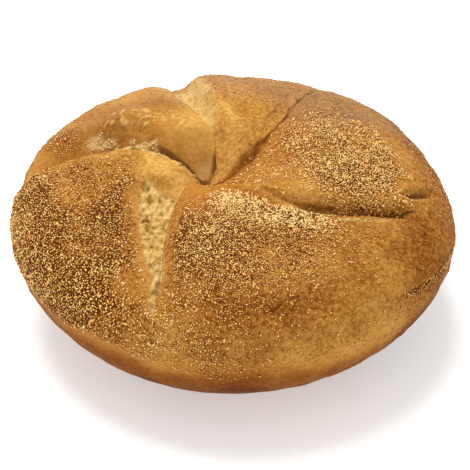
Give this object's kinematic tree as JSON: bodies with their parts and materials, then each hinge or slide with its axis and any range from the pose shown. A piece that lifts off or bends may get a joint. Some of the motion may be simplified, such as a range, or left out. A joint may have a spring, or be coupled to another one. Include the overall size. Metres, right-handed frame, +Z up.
{
  "type": "kaiser roll",
  "caption": "Round bread roll with a flat underside and a pinwheel of overlapping petals folded into its top, served whole or split for a sandwich.",
  "frame": {"origin": "on the surface the roll stands on, at the middle of its flat underside", "axes": "+Z up through the crown, +Y away from the side that faces the viewer, +X to the viewer's right"},
  "size_m": [0.1074, 0.1083, 0.0453],
  "materials": {
    "crust": "matt baked crust, golden brown, dusted with coarse semolina"
  },
  "bodies": {
    "root": {"roll": "crust"}
  },
  "joints": []
}
